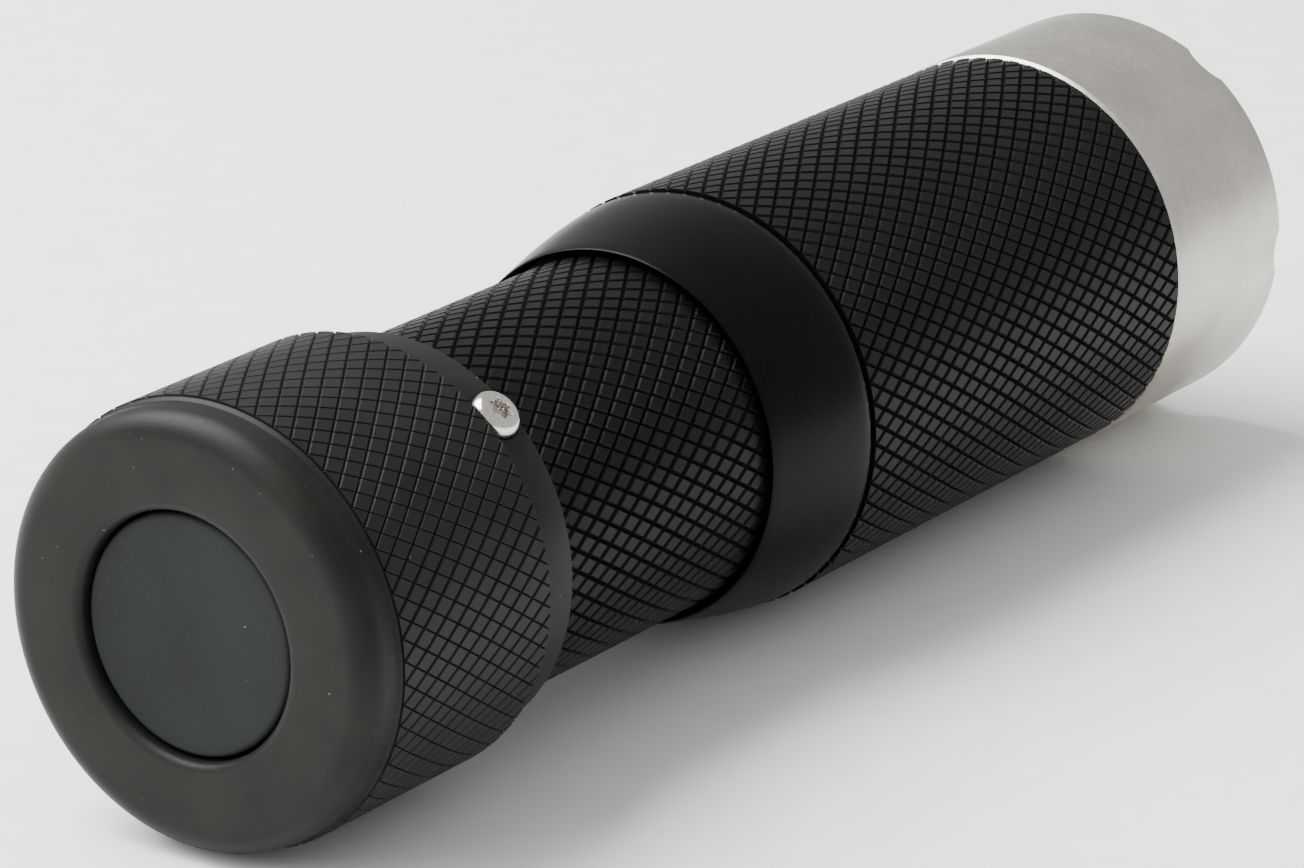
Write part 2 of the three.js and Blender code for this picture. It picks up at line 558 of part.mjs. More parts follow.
// Head: a rounded shoulder over the tube, a grip, and a threaded nose for the bezel.
function headShell() {
  const shoulder = Array.from({ length: HEAD_SHOULDER_RINGS + 1 }, (unused, i) => {
    const share = i / HEAD_SHOULDER_RINGS;
    const rise = (HEAD_COLLAR_RADIUS - HEAD_REAR_RADIUS) * Math.sin((share * Math.PI) / 2);
    const radius = HEAD_REAR_RADIUS + rise;
    return [radius, HEAD_REAR + HEAD_SHOULDER_LENGTH * share];
  });
  const step = HEAD_RADIUS - HEAD_COLLAR_RADIUS;
  return turned([
    [HEAD_MOUTH_RADIUS, HEAD_REAR],
    ...shoulder,
    [HEAD_COLLAR_RADIUS, HEAD_GRIP_START - step],
    [HEAD_RADIUS, HEAD_GRIP_START],
    [HEAD_RADIUS, HEAD_GRIP_END],
    [HEAD_SPIGOT_RADIUS, HEAD_GRIP_END],
    [HEAD_SPIGOT_RADIUS, HEAD_FRONT],
    [HEAD_BORE_RADIUS, HEAD_FRONT],
    [HEAD_BORE_RADIUS, PARTITION_END],
    [INSULATOR_RADIUS + SEAT_GAP, PARTITION_END],
    [INSULATOR_RADIUS + SEAT_GAP, CELL_WELL_END],
    [CELL_WELL_RADIUS, CELL_WELL_END],
    [CELL_WELL_RADIUS, HEAD_THREAD_END],
    [HEAD_THREAD_BORE, HEAD_THREAD_END],
    [HEAD_THREAD_BORE, HEAD_MOUTH_END],
    [HEAD_MOUTH_RADIUS, HEAD_MOUTH_END],
  ]);
}

add("head_shell", headShell(), BLACK_ANODISE);

// Positive contact in its insulating bush.
const contactInsulator = turned([
  [CONTACT_RADIUS + SEAT_GAP, CELL_WELL_END + SEAT_GAP],
  [INSULATOR_RADIUS, CELL_WELL_END + SEAT_GAP],
  [INSULATOR_RADIUS, PARTITION_END + SEAT_GAP],
  [INSULATOR_FLANGE_RADIUS, PARTITION_END + SEAT_GAP],
  [INSULATOR_FLANGE_RADIUS, INSULATOR_END],
  [CONTACT_RADIUS + SEAT_GAP, INSULATOR_END],
]);
add("contact_insulator", contactInsulator, WHITE_BOARD);
add("positive_contact", disc(CONTACT_RADIUS, CAP_END + SEAT_GAP, INSULATOR_END, SMALL_SIDES), BRASS);

// Driver board and its main components.
const headDiscRadius = HEAD_BORE_RADIUS - SEAT_GAP;
const componentStart = DRIVER_END + SEAT_GAP;
const inductor = block(
  INDUCTOR_WIDTH,
  INDUCTOR_WIDTH,
  componentStart,
  componentStart + INDUCTOR_HEIGHT,
  0,
  COMPONENT_SPACING,
);
const chipEnd = componentStart + CHIP_HEIGHT;
const chip = block(CHIP_WIDTH, CHIP_WIDTH, componentStart, chipEnd, 0, -COMPONENT_SPACING);
const capacitor = block(
  CAPACITOR_WIDTH,
  CAPACITOR_LENGTH,
  componentStart,
  componentStart + CAPACITOR_WIDTH,
  COMPONENT_SPACING,
  -COMPONENT_SPACING,
);
add("driver_board", disc(headDiscRadius, DRIVER_START, DRIVER_END), GREEN_BOARD);
add("driver_inductor", inductor, FERRITE);
add("driver_chip", chip, BLACK_PLASTIC);
add("driver_capacitor", capacitor, BRASS);

// Heat sink and light engine. Two leads pass through both from the driver, one on each side.
const leadHole = (side, start, end) =>
  disc(LEAD_HOLE_RADIUS, start - SPLIT_GAP, end + SPLIT_GAP, SMALL_SIDES).translate(side * LEAD_OFFSET, 0, 0);
const withLeadHoles = (geometry, start, end) =>
  cut(geometry, leadHole(1, start, end), leadHole(-1, start, end));

function lead(side) {
  const rise = LED_START + LEAD_RADIUS;
  const corner = LED_BOARD_END - LEAD_FOLD;
  const points = [
    [LEAD_OFFSET, DRIVER_END + SEAT_GAP],
    [LEAD_OFFSET, (DRIVER_END + corner) / 2],
    [LEAD_OFFSET, corner],
    [LEAD_OFFSET - LEAD_FOLD * 0.2, rise - LEAD_FOLD * 0.3],
    [LEAD_OFFSET - LEAD_FOLD * 0.9, rise + SEAT_GAP],
  ];
  return wire(points.map(([x, y]) => new THREE.Vector3(side * x, y, 0)), LEAD_RADIUS, 14, 4);
}

const ledHousing = block(LED_WIDTH, LED_WIDTH, LED_START, LED_END);
const domeBase = LED_END + SEAT_GAP;
const domeCorners = arcCorners(0, domeBase, LED_DOME_RADIUS, 0, 90, 5).slice(0, -1);
const ledDome = turned([[0, domeBase], ...domeCorners, [0, domeBase + LED_DOME_RADIUS]], SMALL_SIDES);
const ledCorner = LED_WIDTH * Math.SQRT1_2 + SEAT_GAP;
const core = withLeadHoles(disc(headDiscRadius, CORE_START, CORE_END), CORE_START, CORE_END);
const ledDisc = disc(LED_BOARD_RADIUS, LED_BOARD_START, LED_BOARD_END);
const ledBoard = withLeadHoles(ledDisc, LED_BOARD_START, LED_BOARD_END);
add("heat_sink_core", core, ALUMINIUM);
add("led_board", ledBoard, WHITE_BOARD);
add("led_housing", ledHousing, WHITE_BOARD);
add("led_dome", ledDome, LED_SILICONE);
add("led_lead_positive", lead(1), LEAD_RED);
add("led_lead_negative", lead(-1), LEAD_BLACK);
const centringRing = ring(ledCorner, ledCorner + CENTRING_WALL, LED_START, LED_START + CENTRING_HEIGHT);
add("centring_ring", centringRing, BLACK_PLASTIC);

// Reflector: a paraboloid about the emitter, with a front flange that the window holds down.
function reflectorShell() {
  const front = headDiscRadius - REFLECTOR_RIM;
  const growth = (front ** 2 - REFLECTOR_HOLE_RADIUS ** 2) / REFLECTOR_LENGTH;
  const bowl = (station) => Math.sqrt(REFLECTOR_HOLE_RADIUS ** 2 + growth * (station - REFLECTOR_START));
  const stations = Array.from({ length: REFLECTOR_RINGS + 1 }, (unused, i) =>
    REFLECTOR_START + REFLECTOR_LENGTH * (i / REFLECTOR_RINGS) ** 2);
  const inside = stations.map((station) => [bowl(station), station]);
  const flangeStart = REFLECTOR_END - REFLECTOR_FLANGE;
  const backStations = stations.filter((station) => station < flangeStart);
  const outside = backStations.map((station) => [bowl(station) + REFLECTOR_WALL, station]);
  return turned([
    ...inside,
    [headDiscRadius, REFLECTOR_END],
    [headDiscRadius, flangeStart],
    [bowl(flangeStart) + REFLECTOR_WALL / 2, flangeStart],
    ...outside.reverse(),
  ]);
}

add("reflector", reflectorShell(), MIRROR);

// Window, its seal, and the scalloped bezel.
const windowRadius = BEZEL_BORE_RADIUS - RUNNING_GAP;
const windowSealRadius = (BEZEL_OPENING_RADIUS + windowRadius) / 2;
const windowSealStation = WINDOW_END + O_RING_GAP / 2 + O_RING_SECTION;

function bezelRing() {
  const body = turned([
    [BEZEL_BORE_RADIUS, BEZEL_START],
    [BEZEL_RADIUS, BEZEL_START],
    [BEZEL_RADIUS, BEZEL_END - BEZEL_EDGE],
    [BEZEL_RADIUS - BEZEL_EDGE, BEZEL_END],
    [BEZEL_OPENING_RADIUS + BEZEL_EDGE, BEZEL_END],
    [BEZEL_OPENING_RADIUS, BEZEL_END - BEZEL_EDGE],
    [BEZEL_OPENING_RADIUS, BEZEL_BORE_END],
    [BEZEL_BORE_RADIUS, BEZEL_BORE_END],
  ]);
  const station = BEZEL_END + SCALLOP_RADIUS - SCALLOP_DEPTH;
  const scallopFrom = BEZEL_OPENING_RADIUS / 2;
  const scallopTo = BEZEL_RADIUS + SCALLOP_DEPTH;
  const scallops = Array.from({ length: SCALLOP_COUNT }, (unused, i) => {
    const angle = THREE.MathUtils.degToRad(SCALLOP_ANGLE_DEGREES + (360 * i) / SCALLOP_COUNT);
    return radialCylinder(SCALLOP_RADIUS, scallopFrom, scallopTo, angle, station);
  });
  return cut(body, ...scallops);
}

add("window", disc(windowRadius, WINDOW_START, WINDOW_END), WINDOW_GLASS);
add("window_o_ring", seal(windowSealRadius, windowSealStation, O_RING_SECTION), SEAL_RUBBER);
add("bezel", bezelRing(), STAINLESS);

export default flashlight;
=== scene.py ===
"""Looks of a compact pocket flashlight, built round its CAD part, in metres and in the part's own frame."""

import math

import bpy
import numpy as np
from mathutils import Matrix, Vector


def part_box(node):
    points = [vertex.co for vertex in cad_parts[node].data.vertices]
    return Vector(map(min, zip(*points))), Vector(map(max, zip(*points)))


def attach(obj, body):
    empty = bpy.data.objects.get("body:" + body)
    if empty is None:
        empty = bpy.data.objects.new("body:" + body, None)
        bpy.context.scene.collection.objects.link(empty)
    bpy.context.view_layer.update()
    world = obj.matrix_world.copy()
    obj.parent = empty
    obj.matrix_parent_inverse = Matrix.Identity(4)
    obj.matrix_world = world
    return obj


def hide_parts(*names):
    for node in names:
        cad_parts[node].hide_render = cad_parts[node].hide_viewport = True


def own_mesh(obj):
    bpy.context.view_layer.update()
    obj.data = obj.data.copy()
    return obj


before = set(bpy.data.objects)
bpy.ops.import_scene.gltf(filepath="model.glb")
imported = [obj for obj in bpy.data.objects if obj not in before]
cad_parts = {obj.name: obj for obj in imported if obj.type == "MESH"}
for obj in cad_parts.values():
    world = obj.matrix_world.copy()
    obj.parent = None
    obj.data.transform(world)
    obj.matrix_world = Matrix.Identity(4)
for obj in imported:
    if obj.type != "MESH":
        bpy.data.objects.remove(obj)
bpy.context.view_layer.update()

# Stations are in mm from the tail face and radii in mm from the beam axis, which runs along +Y.
MM = 0.001
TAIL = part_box("rotary_knob")[0].y
AXIS = sum(corner.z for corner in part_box("bezel")) / 2
ON_AXIS = Matrix.Translation((0, TAIL, AXIS))

SIDES = 160
SMALL_SIDES = 48

# Tail knob, with its button and stop screw.
BUTTON_HOLE = 6.86
BUTTON_CAVITY = 9.0
BUTTON_FLANGE = 8.7
KNOB_RIM_ROUND = 1.5
KNOB_CREST = 12.42
KNOB_CORE = 12.0
KNOB_BORE = 10.25
KNOB_COLLAR = 11.57
KNOB_END = 19.0
SCREW_ANGLE = math.radians(40.5)
SCREW_STATION = 17.35
SPRING_RADIUS = 1.32
SPRING_WIRE = 0.13
SPRING_PITCH = 0.74
SPRING_START = 10.44

# Battery tube.
TUBE_BORE = 8.75
TUBE_TAIL = 9.98
TUBE_CREST = 10.62
TUBE_LAND = 10.42
TUBE_CORE = 10.15
TUBE_NOSE = 9.95

# Head and bezel.
HEAD_MOUTH = 10.95
HEAD_CREST = 12.6
HEAD_COLLAR = 12.47
HEAD_CORE = 12.15
HEAD_SPIGOT = 11.38
HEAD_BORE = 10.5
THREAD_BORE = 10.2
BEZEL_RADIUS = 12.68
BEZEL_BORE = 11.65
BEZEL_OPENING = 9.9
BEZEL_FRONT = 94.95
SCALLOPS = 6
SCALLOP_ANGLE = math.radians(33.5)

# Optics.
WINDOW_RADIUS = 11.38
BOWL_NECK = 2.7
BOWL_MOUTH = 9.7
BOWL_WALL = 0.7
BOWL_FLANGE = 10.38

SHEEN = "Specular IOR Level"


def hexed(code):
    """Linear colour of an sRGB hex code."""
    parts = [int(code[i : i + 2], 16) / 255 for i in (1, 3, 5)]
    return [p / 12.92 if p <= 0.04045 else ((p + 0.055) / 1.055) ** 2.4 for p in parts] + [1]


# Materials: every pattern is on Object coordinates, in real millimetres.


def node(tree, kind, inputs, **settings):
    """Adds a shader node, with its settings, and its inputs as values or as sockets to link."""
    made = tree.nodes.new(kind)
    for key, value in settings.items():
        setattr(made, key, value)
    for key, value in inputs.items():
        if isinstance(value, bpy.types.NodeSocket):
            tree.links.new(value, made.inputs[key])
        else:
            made.inputs[key].default_value = value
    return made


def finish(name, light, dark, rough, grain, relief=0.0, turning=0.0, specks=0.0, **surface):
    """A surface of two tones in a fine grain (mm), with relief (mm), turning rings (mm) and pale specks."""
    made = bpy.data.materials.new(name)
    made.use_nodes = True
    tree = made.node_tree
    tree.nodes.clear()
    place = node(tree, "ShaderNodeTexCoord", {}).outputs["Object"]
    fine = node(tree, "ShaderNodeTexNoise", {"Vector": place, "Scale": 1 / (grain * MM), "Detail": 4.0})
    broad = node(tree, "ShaderNodeTexNoise", {"Vector": place, "Scale": 1 / (4 * MM), "Detail": 2.0})
    both = {0: fine.outputs["Fac"], 1: broad.outputs["Fac"]}
    mixed = node(tree, "ShaderNodeMath", both, operation="MULTIPLY")
    spread = node(
        tree,
        "ShaderNodeMapRange",
        {"Value": mixed.outputs[0], "From Min": 0.12, "From Max": 0.4},
    )
    tone = node(
        tree,
        "ShaderNodeMixRGB",
        {"Fac": spread.outputs[0], "Color1": hexed(dark), "Color2": hexed(light)},
    ).outputs[0]
    if specks:
        dots = node(tree, "ShaderNodeTexNoise", {"Vector": place, "Scale": 1 / (0.35 * MM), "Detail": 3.0})
        dust = node(
            tree,
            "ShaderNodeMapRange",
            {"Value": dots.outputs["Fac"], "From Min": 0.74, "From Max": 0.8},
        )
        faint = node(tree, "ShaderNodeMath", {0: dust.outputs[0], 1: specks}, operation="MULTIPLY")
        tone = node(
            tree,
            "ShaderNodeMixRGB",
            {"Fac": faint.outputs[0], "Color1": tone, "Color2": hexed("#a8a8a2")},
        ).outputs[0]
    wear = node(
        tree,
        "ShaderNodeMapRange",
        {
            "Value": fine.outputs["Fac"],
            "From Min": 0.3,
            "From Max": 0.7,
            "To Min": rough * 0.88,
            "To Max": rough * 1.12,
        },
    )
    inputs = {"Base Color": tone, "Roughness": wear.outputs[0], **surface}
    height = fine.outputs["Fac"]
    if turning:
        # Rings of fine tool marks round the axis: the pattern changes only along the beam.
        along = node(tree, "ShaderNodeMapping", {"Vector": place, "Scale": (0.01, 1, 0.01)})
        rings = node(
            tree,
            "ShaderNodeTexNoise",
            {"Vector": along.outputs[0], "Scale": 1 / (turning * MM), "Detail": 3.0},
        )
        height = rings.outputs["Fac"]
    if relief:
        bump = node(tree, "ShaderNodeBump", {"Height": height, "Strength": 1.0, "Distance": relief * MM})
        inputs["Normal"] = bump.outputs[0]
    shader = node(tree, "ShaderNodeBsdfPrincipled", inputs)
    node(tree, "ShaderNodeOutputMaterial", {"Surface": shader.outputs[0]})
    return made


# Matt hard coat on the knob: a slightly green grey with a dry, dusty grain.
KNOB_COAT = finish(
    "hard_anodised_grey", "#191d18", "#10130f", 0.46, 0.09, relief=0.01, specks=0.3, **{SHEEN: 0.14}
)
# The same coat on the tube and head: darker and bluer.
BODY_COAT = finish(
    "hard_anodised_black", "#070b0a", "#030605", 0.4, 0.09, relief=0.008, **{SHEEN: 0.1}
)
# Turned and coated shoulder of the head: semi-gloss, with faint rings of tool marks.
TURNED_COAT = finish(
    "anodised_turned_black", "#060908", "#030404", 0.3, 0.2, relief=0.003, turning=0.12, **{SHEEN: 0.08}
)
# Moulded rubber: grey-green and dull, with dust in it.
BUTTON_RUBBER = finish(
    "moulded_rubber", "#191e1b", "#121614", 0.7, 0.15, relief=0.01, specks=0.5, **{SHEEN: 0.2}
)
# Satin stainless steel: warm light grey, with fine turning rings.
STAINLESS = finish(
    "satin_stainless", "#cbc6bc", "#b7b2a8", 0.36, 0.3, relief=0.003, turning=0.08, Metallic=1.0
)
# Polished steel of the screw and springs: bright, with sharp reflections.
POLISHED = finish("polished_steel", "#dedad4", "#c4c0ba", 0.16, 0.2, relief=0.001, Metallic=1.0)
# Vacuum metallised bowl: a bright mirror.
MIRROR = finish("metallised_mirror", "#f4f4f2", "#e9e9e6", 0.04, 0.8, relief=0.002, Metallic=1.0)
# Clear hardened glass: almost unseen but for its edge and its reflections.
GLASS = finish("clear_glass", "#f6fafa", "#eef4f4", 0.01, 1.0, IOR=1.5, **{"Transmission Weight": 1.0})
# Phosphor under clear silicone: egg-yolk yellow.
PHOSPHOR = finish("led_phosphor", "#e8d24e", "#d9bf36", 0.18, 0.2)
# Black rubber of the seals: dull, with a faint grain.
SEAL = finish("black_seal_rubber", "#1c1c1c", "#111111", 0.6, 0.1, relief=0.004)
# Machined brass of contacts and rings: warm yellow, with a soft shine.
BRASS = finish("machined_brass", "#c8a458", "#a8843e", 0.3, 0.15, relief=0.002, Metallic=1.0)
# Solder mask on the circuit boards: deep green, half glossy.
BOARD = finish("green_solder_mask", "#236b43", "#174d30", 0.35, 0.3, relief=0.004)
# Black nylon mouldings: dull and even.
PLASTIC = finish("black_nylon", "#202020", "#151515", 0.5, 0.12, relief=0.004)
# White mouldings and the white face of the emitter board: dull and creamy.
PALE_PLASTIC = finish("white_acetal", "#e4e2dc", "#d2d0ca", 0.5, 0.12, relief=0.003)
# The emitter's white ceramic body: chalky and bright.
CERAMIC = finish("white_ceramic", "#f0efe9", "#dddcd6", 0.4, 0.08, relief=0.002)
# Shrink wrap on the cell: smooth mid blue, a little wavy.
CELL_WRAP = finish("blue_shrink_wrap", "#3c5285", "#2b3d68", 0.3, 0.6, relief=0.006)
# Ferrite of the inductor: rough dark grey.
FERRITE = finish("grey_ferrite", "#4a4a4e", "#343438", 0.6, 0.08, relief=0.006)
# Ceramic of the capacitor: matt tan.
TAN_CERAMIC = finish("tan_ceramic", "#b08a5a", "#94703f", 0.45, 0.08, relief=0.002)
# Machined aluminium of the heat sink: pale grey metal with turning rings.
ALUMINIUM = finish(
    "machined_aluminium", "#c6c9cc", "#a9acaf", 0.32, 0.2, relief=0.002, turning=0.1, Metallic=1.0
)
# Insulation of the positive lead: soft red.
RED_LEAD = finish("red_lead_insulation", "#a8231e", "#861a16", 0.4, 0.2, relief=0.004)
# Insulation of the negative lead: soft black.
BLACK_LEAD = finish("black_lead_insulation", "#232323", "#171717", 0.4, 0.2, relief=0.004)
# Matt white card under the light: nearly even, with no shine.
FLOOR = finish("matt_white_card", "#fcfcfb", "#f8f8f7", 0.8, 3.0, **{SHEEN: 0.1})

CAD_FINISH = {
    "button_retaining_ring": TURNED_COAT,
    "rotary_wiper": BRASS,
    "knob_o_ring": SEAL,
    "window_o_ring": SEAL,
    "rotary_board": BOARD,
    "switch_housing": PLASTIC,
    "switch_plunger": PLASTIC,
    "switch_board": BOARD,
    "switch_retaining_ring": BRASS,
    "tail_contact_spring": POLISHED,
    "battery_cell": CELL_WRAP,
    "battery_positive_cap": POLISHED,
    "contact_insulator": PALE_PLASTIC,
    "positive_contact": BRASS,
    "driver_board": BOARD,
    "driver_inductor": FERRITE,
    "driver_chip": PLASTIC,
    "driver_capacitor": TAN_CERAMIC,
    "heat_sink_core": ALUMINIUM,
    "led_board": PALE_PLASTIC,
    "led_lead_positive": RED_LEAD,
    "led_lead_negative": BLACK_LEAD,
}
for name, material in CAD_FINISH.items():
    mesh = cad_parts[name].data
    mesh.materials.clear()
    mesh.materials.append(material)


# Modelling steps.


def named(name):
    """The piece that was just added, under its own name."""
    piece = bpy.context.object
    piece.name = name
    piece.data.name = name
    return piece


def places(piece):
    """Places of a piece's corners, one row each."""
    flat = np.empty(len(piece.data.vertices) * 3)
    piece.data.vertices.foreach_get("co", flat)
    return flat.reshape(-1, 3)


def arc(radius, station, size, start, end, steps):
    """Profile corners on a circular arc about (radius, station), between two angles in degrees."""
    angles = np.radians(np.linspace(start, end, steps + 1))
    return [(radius + size * math.cos(a), station + size * math.sin(a)) for a in angles]


def revolve(name, corners, place=ON_AXIS, sides=SIDES, capped=False):
    """Revolves a profile of (radius, station) corners round +Y by extruding a circle along it.
    The profile closes on itself, or is capped at both ends."""
    bpy.ops.object.select_all(action="DESELECT")
    bpy.ops.mesh.primitive_circle_add(vertices=sides, radius=corners[0][0] * MM, rotation=(math.pi / 2, 0, 0))
    piece = named(name)
    bpy.ops.object.transform_apply(location=True, rotation=True, scale=True)
    bpy.ops.object.mode_set(mode="EDIT")
    bpy.ops.mesh.select_all(action="SELECT")
    bpy.ops.transform.translate(value=(0, corners[0][1] * MM, 0))
    for (radius, station), (next_radius, next_station) in zip(corners, corners[1:]):
        advance = (0, (next_station - station) * MM, 0)
        bpy.ops.mesh.extrude_edges_move(TRANSFORM_OT_translate={"value": advance})
        grow = next_radius / radius
        bpy.ops.transform.resize(value=(grow, 1, grow), center_override=(0, 0, 0))
    bpy.ops.mesh.select_all(action="DESELECT")
    bpy.ops.mesh.select_non_manifold()
    if capped:
        bpy.ops.mesh.fill_holes(sides=0)
    else:
        bpy.ops.mesh.bridge_edge_loops()
    bpy.ops.mesh.select_all(action="SELECT")
    bpy.ops.mesh.normals_make_consistent(inside=False)
    bpy.ops.object.mode_set(mode="OBJECT")
    piece.data.transform(place)
    return piece


def radial(angle, station):
    """Stands a piece that was revolved round +Y out from the beam axis, at an angle from straight up."""
    outward = Matrix.Rotation(angle, 4, "Y") @ Matrix.Rotation(math.pi / 2, 4, "X")
    return ON_AXIS @ Matrix.Translation((0, station * MM, 0)) @ outward


def carve(piece, tool):
    """Cuts a tool's shape out of a piece."""
    cut = piece.modifiers.new("cut", "BOOLEAN")
    cut.object = tool
    cut.operation = "DIFFERENCE"
    cut.solver = "EXACT"
    bpy.context.view_layer.objects.active = piece
    bpy.ops.object.modifier_apply(modifier=cut.name)
    bpy.data.objects.remove(tool)


def soften(piece, width, angle=28):
    """Rounds the sharp edges of a piece a little, and shades it smooth."""
    bevel = piece.modifiers.new("edges", "BEVEL")
    bevel.width = width * MM
    bevel.segments = 2
    bevel.limit_method = "ANGLE"
    bevel.angle_limit = math.radians(angle)
    bpy.context.view_layer.objects.active = piece
    bpy.ops.object.modifier_apply(modifier=bevel.name)
    bpy.ops.object.select_all(action="DESELECT")
    piece.select_set(True)
    bpy.ops.object.shade_smooth_by_angle(angle=math.radians(35))


def settle(piece, material, body, slot, *nodes):
    """Finishes a piece: its material, the body it rides on and the CAD nodes it stands for. The slot argument
    is not used.
    """
    piece.data.materials.clear()
    piece.data.materials.append(material)
    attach(piece, body)
    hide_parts(*nodes)


def knurl(name, crest, inner, start, end, count, length, depth, tops):
    """A sleeve of flat-topped diamonds: count round, each length mm long, with grooves of some depth.
    tops gives the share of the pitch that the flat takes across each of the two groove directions."""
    width = 2 * math.pi * crest / count
    rows = math.ceil((end - start) / length) + 2
    # One cell, in a square frame whose sides are the two groove directions.
    bpy.ops.object.select_all(action="DESELECT")
    bpy.ops.mesh.primitive_plane_add(size=1)
    piece = named(name)
    bpy.ops.object.mode_set(mode="EDIT")
    bpy.ops.mesh.select_all(action="SELECT")
    bpy.ops.mesh.inset(thickness=0.02, depth=0)
    bpy.ops.transform.resize(value=(tops[0] / 0.96, tops[1] / 0.96, 1), center_override=(0, 0, 0))
    bpy.ops.transform.translate(value=(0, 0, depth * 0.8))
    bpy.ops.mesh.inset(thickness=0.035, depth=0)
    bpy.ops.transform.translate(value=(0, 0, depth * 0.2))
    bpy.ops.object.mode_set(mode="OBJECT")
    repeats = [("pair", (1, 0, 0), 2), ("round", (1, 1, 0), count), ("along", (1, -1, 0), rows)]
    for label, offset, copies in repeats:
        array = piece.modifiers.new(label, "ARRAY")
        array.use_relative_offset = False
        array.use_constant_offset = True
        array.constant_offset_displace = offset
        array.count = copies
        bpy.ops.object.modifier_apply(modifier=array.name)
    # The square frame is laid out as diamonds, round and along, in mm.
    corners = places(piece)
    first = corners[:, 0].copy()
    second = corners[:, 1].copy()
    corners[:, 0] = (first + second) / 2 * width
    corners[:, 1] = (first - second) / 2 * length + start - length
    piece.data.vertices.foreach_set("co", corners.ravel())
    bpy.ops.object.mode_set(mode="EDIT")
    bpy.ops.mesh.select_all(action="SELECT")
    bpy.ops.mesh.remove_doubles(threshold=1e-4)
    for station, outward in ((start, -1), (end, 1)):
        bpy.ops.mesh.select_all(action="SELECT")
        bpy.ops.mesh.bisect(plane_co=(0, station, 0), plane_no=(0, outward, 0), clear_outer=True)
    # The trimmed ends are taken down to the sleeve's bore.
    bpy.ops.object.mode_set(mode="OBJECT")
    along = places(piece)[:, 1]
    at_end = (np.abs(along - start) < 1e-3) | (np.abs(along - end) < 1e-3)
    piece.data.vertices.foreach_set("select", at_end)
    bpy.ops.object.mode_set(mode="EDIT")
    bpy.ops.mesh.select_mode(type="VERT")
    bpy.ops.mesh.extrude_edges_move(TRANSFORM_OT_translate={"value": (0, 0, 0)})
    bpy.ops.transform.resize(value=(1, 1, 0), center_override=(0, 0, inner - crest + depth))
    bpy.ops.object.mode_set(mode="OBJECT")
    # The flat sheet is wrapped round the beam axis.
    flat = places(piece)
    turn = flat[:, 0] / crest
    radius = crest - depth + flat[:, 2]
    wrapped = np.stack([radius * np.sin(turn), flat[:, 1], radius * np.cos(turn)], axis=1) * MM
    piece.data.vertices.foreach_set("co", wrapped.ravel())
    piece.data.update()
    bpy.ops.object.mode_set(mode="EDIT")
    bpy.ops.mesh.select_all(action="SELECT")
    bpy.ops.mesh.remove_doubles(threshold=2e-6)
    bpy.ops.mesh.select_all(action="DESELECT")
    bpy.ops.mesh.select_non_manifold()
    bpy.ops.mesh.bridge_edge_loops()
    bpy.ops.mesh.select_all(action="SELECT")
    bpy.ops.mesh.normals_make_consistent(inside=False)
    bpy.ops.object.mode_set(mode="OBJECT")
    piece.data.transform(ON_AXIS)
    bpy.ops.object.select_all(action="DESELECT")
    piece.select_set(True)
    bpy.ops.object.shade_smooth_by_angle(angle=math.radians(20))
    return piece


# Tail knob: rounded rim, flat tail ring, knurled grip, and the plain collar with the stop screw's seat.
knob = revolve(
    "knob_body",
    [(BUTTON_HOLE, 2.6)]
    + arc(BUTTON_HOLE + 0.55, 0.55, 0.55, 180, 270, 6)
    + arc(10.65, KNOB_RIM_ROUND, KNOB_RIM_ROUND, -90, 0, 10)
    + [
        (12.15, 2.4),
        (12.33, 2.6),
        (12.33, 2.72),
        (KNOB_CORE, 2.72),
        (KNOB_CORE, 15.58),
        (12.3, 15.58),
        (12.3, 15.7),
        (KNOB_BORE, 15.7),
        (KNOB_BORE, 7.3),
        (BUTTON_CAVITY, 7.3),
        (BUTTON_CAVITY, 2.6),
    ],
)
soften(knob, 0.06)
settle(knob, KNOB_COAT, "knob", "black_anodise", "rotary_knob")
collar = revolve(
    "knob_collar",
    [
        (KNOB_BORE, 15.72),
        (11.5, 15.72),
        (KNOB_COLLAR, 15.8),
        (KNOB_COLLAR, 18.7),
        (11.3, KNOB_END),
        (KNOB_BORE, KNOB_END),
    ],
)
screw_place = radial(SCREW_ANGLE, SCREW_STATION)
carve(collar, revolve("seat", [(1.55, 11.4), (1.55, 14.0)], screw_place, SMALL_SIDES, True))
carve(collar, revolve("hole", [(0.85, 8.0), (0.85, 12.0)], screw_place, SMALL_SIDES, True))
soften(collar, 0.06)
settle(collar, KNOB_COAT, "knob", "black_anodise", "rotary_knob")
knob_grip = knurl("knob_knurl", KNOB_CREST, 12.05, 2.75, 15.55, 64, 1.86, 0.14, (0.84, 0.92))
settle(knob_grip, KNOB_COAT, "knob", "black_anodise", "rotary_knob")

# Stop screw: a domed head with a six-lobe socket.
screw = revolve(
    "stop_screw_head",
    [(0.75, 9.55), (0.75, 11.42), (1.45, 11.42), (1.45, 11.75), (1.36, 12.0), (1.18, 12.2), (0.95, 12.3)],
    screw_place,
    SMALL_SIDES,
    True,
)
socket = revolve("socket", [(0.62, 11.7), (0.62, 13.0)], Matrix.Identity(4), SMALL_SIDES, True)
for vertex in socket.data.vertices:
    around = math.atan2(vertex.co.x, vertex.co.z)
    lobe = 1 + 0.17 * math.cos(6 * around)
    vertex.co.x *= lobe
    vertex.co.z *= lobe
socket.data.transform(screw_place)
carve(screw, socket)
soften(screw, 0.04)
settle(screw, POLISHED, "knob", "bright_steel", "stop_screw")

